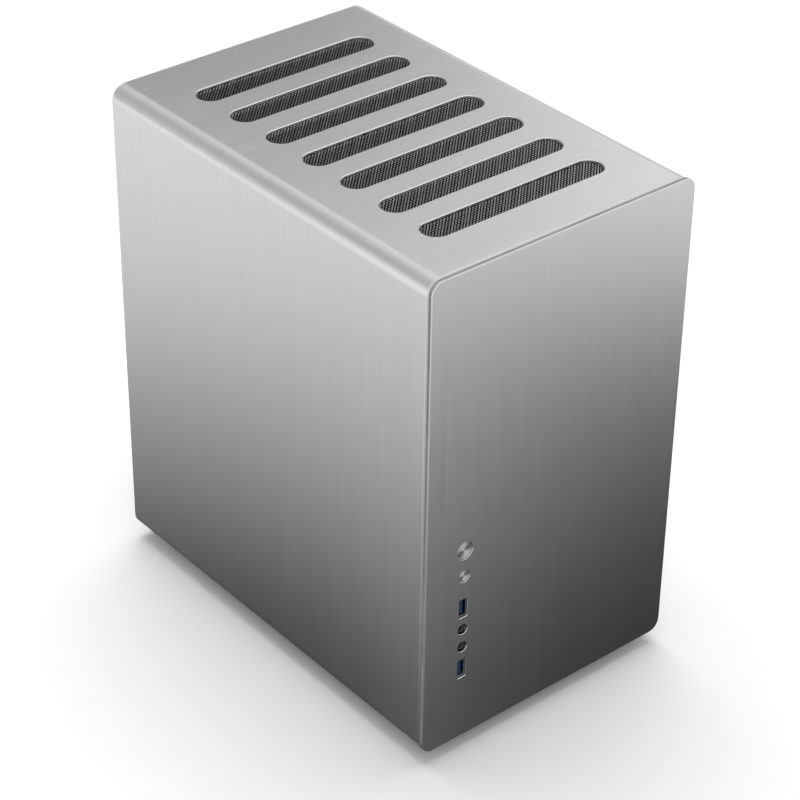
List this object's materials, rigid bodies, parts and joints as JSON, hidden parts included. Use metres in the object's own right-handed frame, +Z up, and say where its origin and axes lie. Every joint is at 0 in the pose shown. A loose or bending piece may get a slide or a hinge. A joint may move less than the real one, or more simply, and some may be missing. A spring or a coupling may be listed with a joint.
{
  "type": "desktop computer tower",
  "caption": "Compact desktop computer tower with a slide-off sleeve, vent slots over a mesh, front buttons and sockets, and a full working interior.",
  "frame": {"origin": "on the floor under the middle of the whole tower, rear screw heads included", "axes": "+Z up, the front faces -Y, +X to the right seen from the front"},
  "size_m": [0.218, 0.339, 0.372],
  "materials": {
    "shell_aluminium": "fine brushed, clear anodised",
    "front_aluminium": "fine brushed, clear anodised",
    "turned_aluminium": "spun in circles on a lathe",
    "bright_aluminium": "plain, machined",
    "rear_aluminium": "blasted, clear anodised",
    "fin_aluminium": "plain rolled sheet",
    "mesh_black": "fine woven mesh, black coated",
    "chassis_black": "black powder coat, fine texture",
    "supply_black": "black powder coat",
    "cover_steel": "stamped plated steel",
    "socket_steel": "bright plated steel",
    "screw_black": "black oxide",
    "lid_nickel": "nickel plated lid",
    "drive_casting": "cast and coated",
    "drive_dark": "dark anodised",
    "memory_spreader": "dark anodised",
    "brass_part": "turned brass",
    "copper": "polished copper",
    "plastic_black": "moulded",
    "plastic_pale": "moulded",
    "plug_white": "moulded nylon",
    "rotor_grey": "moulded, satin",
    "socket_blue": "moulded blue",
    "switch_gloss": "moulded, glossy",
    "circuit_board": "dark solder mask",
    "foot_rubber": "moulded rubber",
    "cable_sleeve": "braided sleeve",
    "cable_red": "flexible flat cable"
  },
  "bodies": {
    "chassis": {"base_plate": "chassis_black", "board_sockets": "plastic_black", "cable_plugs": "plug_white", "chassis_rivets": "bright_aluminium", "chipset_heatsink": "fin_aluminium", "cooler_core": "copper", "cooler_fan_frame": "plastic_black", "cooler_fins": "fin_aluminium", "cpu_socket": "plastic_pale", "drive_cage": "chassis_black", "drive_data_cable": "cable_red", "drive_power_cable": "cable_sleeve", "drive_screws": "socket_steel", "feet": "foot_rubber", "front_frame": "chassis_black", "front_io_board": "circuit_board", "front_panel": "front_aluminium", "front_panel_studs": "bright_aluminium", "front_port_cable": "cable_sleeve", "hard_drive": "drive_casting", "headphone_jack": "plastic_black", "io_shield": "cover_steel", "main_power_cable": "cable_sleeve", "memory_module_1": "memory_spreader", "memory_module_2": "memory_spreader", "microphone_jack": "plastic_black", "motherboard": "circuit_board", "motherboard_screws": "socket_steel", "motherboard_standoffs": "brass_part", "motherboard_tray": "chassis_black", "power_switch": "plastic_black", "processor": "lid_nickel", "processor_power_cable": "cable_sleeve", "psu_case": "supply_black", "psu_cover": "supply_black", "psu_fan_frame": "plastic_black", "psu_inlet": "plastic_black", "rear_fan_frame": "plastic_black", "rear_panel": "rear_aluminium", "rear_panel_screws": "screw_black", "rear_ports": "socket_steel", "reset_switch": "plastic_black", "slot_covers": "cover_steel", "solid_state_drive": "drive_dark", "top_rail_left": "chassis_black", "top_rail_right": "chassis_black", "usb_insert_lower": "socket_blue", "usb_insert_upper": "socket_blue", "usb_shell_lower": "socket_steel", "usb_shell_upper": "socket_steel"},
    "shell": {"outer_shell": "shell_aluminium", "top_filter_mesh": "mesh_black", "top_filter_frame": "plastic_black", "shell_thumbscrews": "bright_aluminium"},
    "power_button_body": {"power_button": "turned_aluminium"},
    "reset_button_body": {"reset_button": "turned_aluminium"},
    "rear_rotor": {"rear_fan_rotor": "rotor_grey"},
    "cooler_rotor": {"cooler_fan_rotor": "rotor_grey"},
    "supply_rotor": {"psu_fan_rotor": "rotor_grey"},
    "rocker": {"psu_rocker": "switch_gloss"}
  },
  "joints": [
    {"name": "shell_slide", "type": "slide", "parent": "chassis", "child": "shell", "axis": [0, 1, 0], "range_m": [0, 0.35]},
    {"name": "power_press", "type": "slide", "parent": "chassis", "child": "power_button_body", "axis": [0, 1, 0], "range_m": [0, 0.0012], "stiffness_N_per_m": 800, "springref_m": -0.0006},
    {"name": "reset_press", "type": "slide", "parent": "chassis", "child": "reset_button_body", "axis": [0, 1, 0], "range_m": [0, 0.0008], "stiffness_N_per_m": 800, "springref_m": -0.0006},
    {"name": "rear_fan_spin", "type": "hinge", "parent": "chassis", "child": "rear_rotor", "pos_m": [-0.0412, 0.145, 0.282], "axis": [0, 1, 0], "continuous": true},
    {"name": "cooler_fan_spin", "type": "hinge", "parent": "chassis", "child": "cooler_rotor", "pos_m": [0.0191, 0.014, 0.27], "axis": [0, 1, 0], "continuous": true},
    {"name": "supply_fan_spin", "type": "hinge", "parent": "chassis", "child": "supply_rotor", "pos_m": [0, 0.089, 0.025], "axis": [0, 0, 1], "continuous": true},
    {"name": "rocker_tilt", "type": "hinge", "parent": "chassis", "child": "rocker", "pos_m": [-0.014, 0.157, 0.0565], "axis": [1, 0, 0], "range_deg": [0, 14]}
  ]
}
